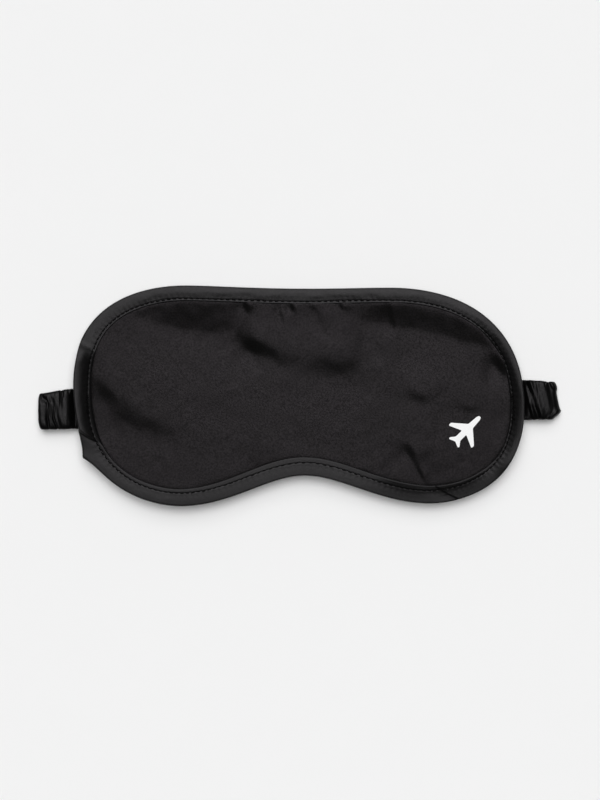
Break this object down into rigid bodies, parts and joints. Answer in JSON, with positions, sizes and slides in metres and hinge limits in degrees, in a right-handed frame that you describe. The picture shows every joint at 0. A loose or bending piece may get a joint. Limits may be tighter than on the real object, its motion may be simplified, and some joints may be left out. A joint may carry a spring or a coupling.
{
  "type": "sleep mask",
  "caption": "Padded satin sleep mask with a bound, topstitched edge and a gathered elastic strap, lying face up with the strap folded behind it.",
  "frame": {"origin": "on the surface that the strap lies on, under the middle of the whole object", "axes": "+X along the strap, to the right when facing the front panel; +Y up the face, away from the nose; +Z out of the front panel"},
  "size_m": [0.2312, 0.0981, 0.0103],
  "materials": {
    "satin": "black satin, soft sheen",
    "lining": "black satin lining",
    "foam": "open-cell foam",
    "binding": "black satin bias strip",
    "thread": "black polyester thread",
    "strap_satin": "black satin, gathered",
    "elastic": "knitted elastic"
  },
  "bodies": {
    "strap": {"strap_casing": "strap_satin", "strap_elastic": "elastic"},
    "mask": {"front_panel": "satin", "back_panel": "lining", "foam_pad": "foam", "edge_binding": "binding", "topstitch_thread": "thread", "strap_tack_left": "thread", "strap_tack_right": "thread", "strap_casing_left": "strap_satin", "strap_casing_right": "strap_satin", "strap_elastic_left": "elastic", "strap_elastic_right": "elastic"}
  },
  "joints": [
    {"name": "strap_stretch", "type": "slide", "parent": "strap", "child": "mask", "axis": [0, 0, 1], "range_m": [0, 0.1], "stiffness_N_per_m": 20, "deforming": ["strap_casing_left", "strap_casing_right", "strap_elastic_left", "strap_elastic_right"]}
  ]
}
